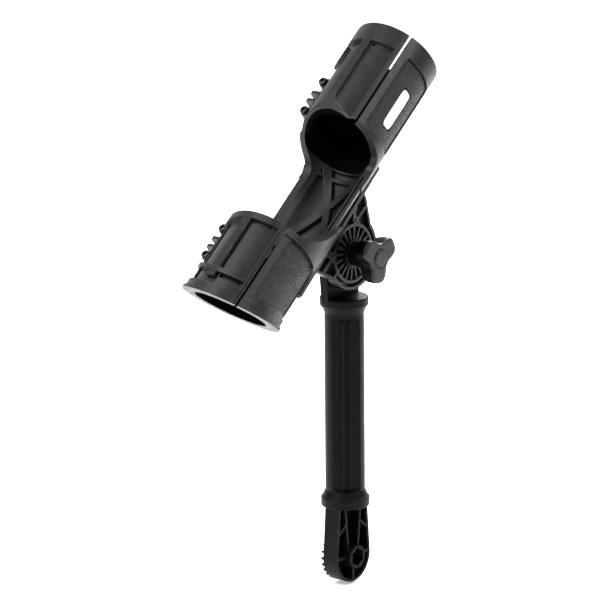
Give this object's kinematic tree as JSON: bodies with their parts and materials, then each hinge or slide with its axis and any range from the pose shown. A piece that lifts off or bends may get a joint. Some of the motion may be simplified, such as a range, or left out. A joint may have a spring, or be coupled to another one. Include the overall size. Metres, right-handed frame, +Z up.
{
  "type": "fishing rod holder",
  "caption": "Open tubular rod holder with two collars and a window between, tilting on a toothed joint with a lobed clamp knob atop a fluted extension arm.",
  "frame": {"origin": "on the foot bolt axis, in the arm's centre plane", "axes": "+Z up the extension arm, +X along the pivot bolt towards the knob, rod tube leaning back towards +Y"},
  "size_m": [0.0738, 0.225, 0.3766],
  "materials": {
    "cradle_nylon": "satin black glass-filled nylon with pebbled panels",
    "arm_nylon": "satin black glass-filled nylon",
    "bracket_nylon": "satin black glass-filled nylon",
    "knob_nylon": "satin black nylon, finely textured",
    "screw_black": "black oxide stainless steel",
    "steel": "stainless steel",
    "brass": "plain brass",
    "badge_plate": "pale gloss plate with no lettering"
  },
  "bodies": {
    "arm": {"extension_arm": "arm_nylon", "pivot_bolt": "steel"},
    "cradle": {"tilt_bracket": "bracket_nylon", "cradle_frame": "cradle_nylon", "upper_cover": "cradle_nylon", "lower_cover": "cradle_nylon", "badge": "badge_plate", "cover_screw_upper_1": "screw_black", "cover_screw_upper_2": "screw_black", "cover_screw_lower_1": "screw_black", "cover_screw_lower_2": "screw_black", "cover_insert_upper_1": "brass", "cover_insert_upper_2": "brass", "cover_insert_lower_1": "brass", "cover_insert_lower_2": "brass", "bracket_screw_1": "screw_black", "bracket_screw_2": "screw_black", "bracket_screw_3": "screw_black", "bracket_screw_4": "screw_black"},
    "knob_washer": {"thrust_washer": "steel"},
    "knob": {"knob_grip": "knob_nylon", "knob_nut": "brass", "knob_cap": "knob_nylon"}
  },
  "joints": [
    {"name": "cradle_tilt", "type": "hinge", "parent": "arm", "child": "cradle", "pos_m": [0, 0, 0.21], "axis": [1, 0, 0], "range_deg": [-125, 45]},
    {"name": "knob_travel", "type": "slide", "parent": "arm", "child": "knob_washer", "axis": [1, 0, 0], "range_m": [0, 0.0025]},
    {"name": "knob_turn", "type": "hinge", "parent": "knob_washer", "child": "knob", "pos_m": [0.02, 0, 0.21], "axis": [1, 0, 0], "range_deg": [0, 720]}
  ],
  "couplings": [
    {"joint": "knob_turn", "follows": "knob_travel", "rad_per_m": 5026.5}
  ]
}
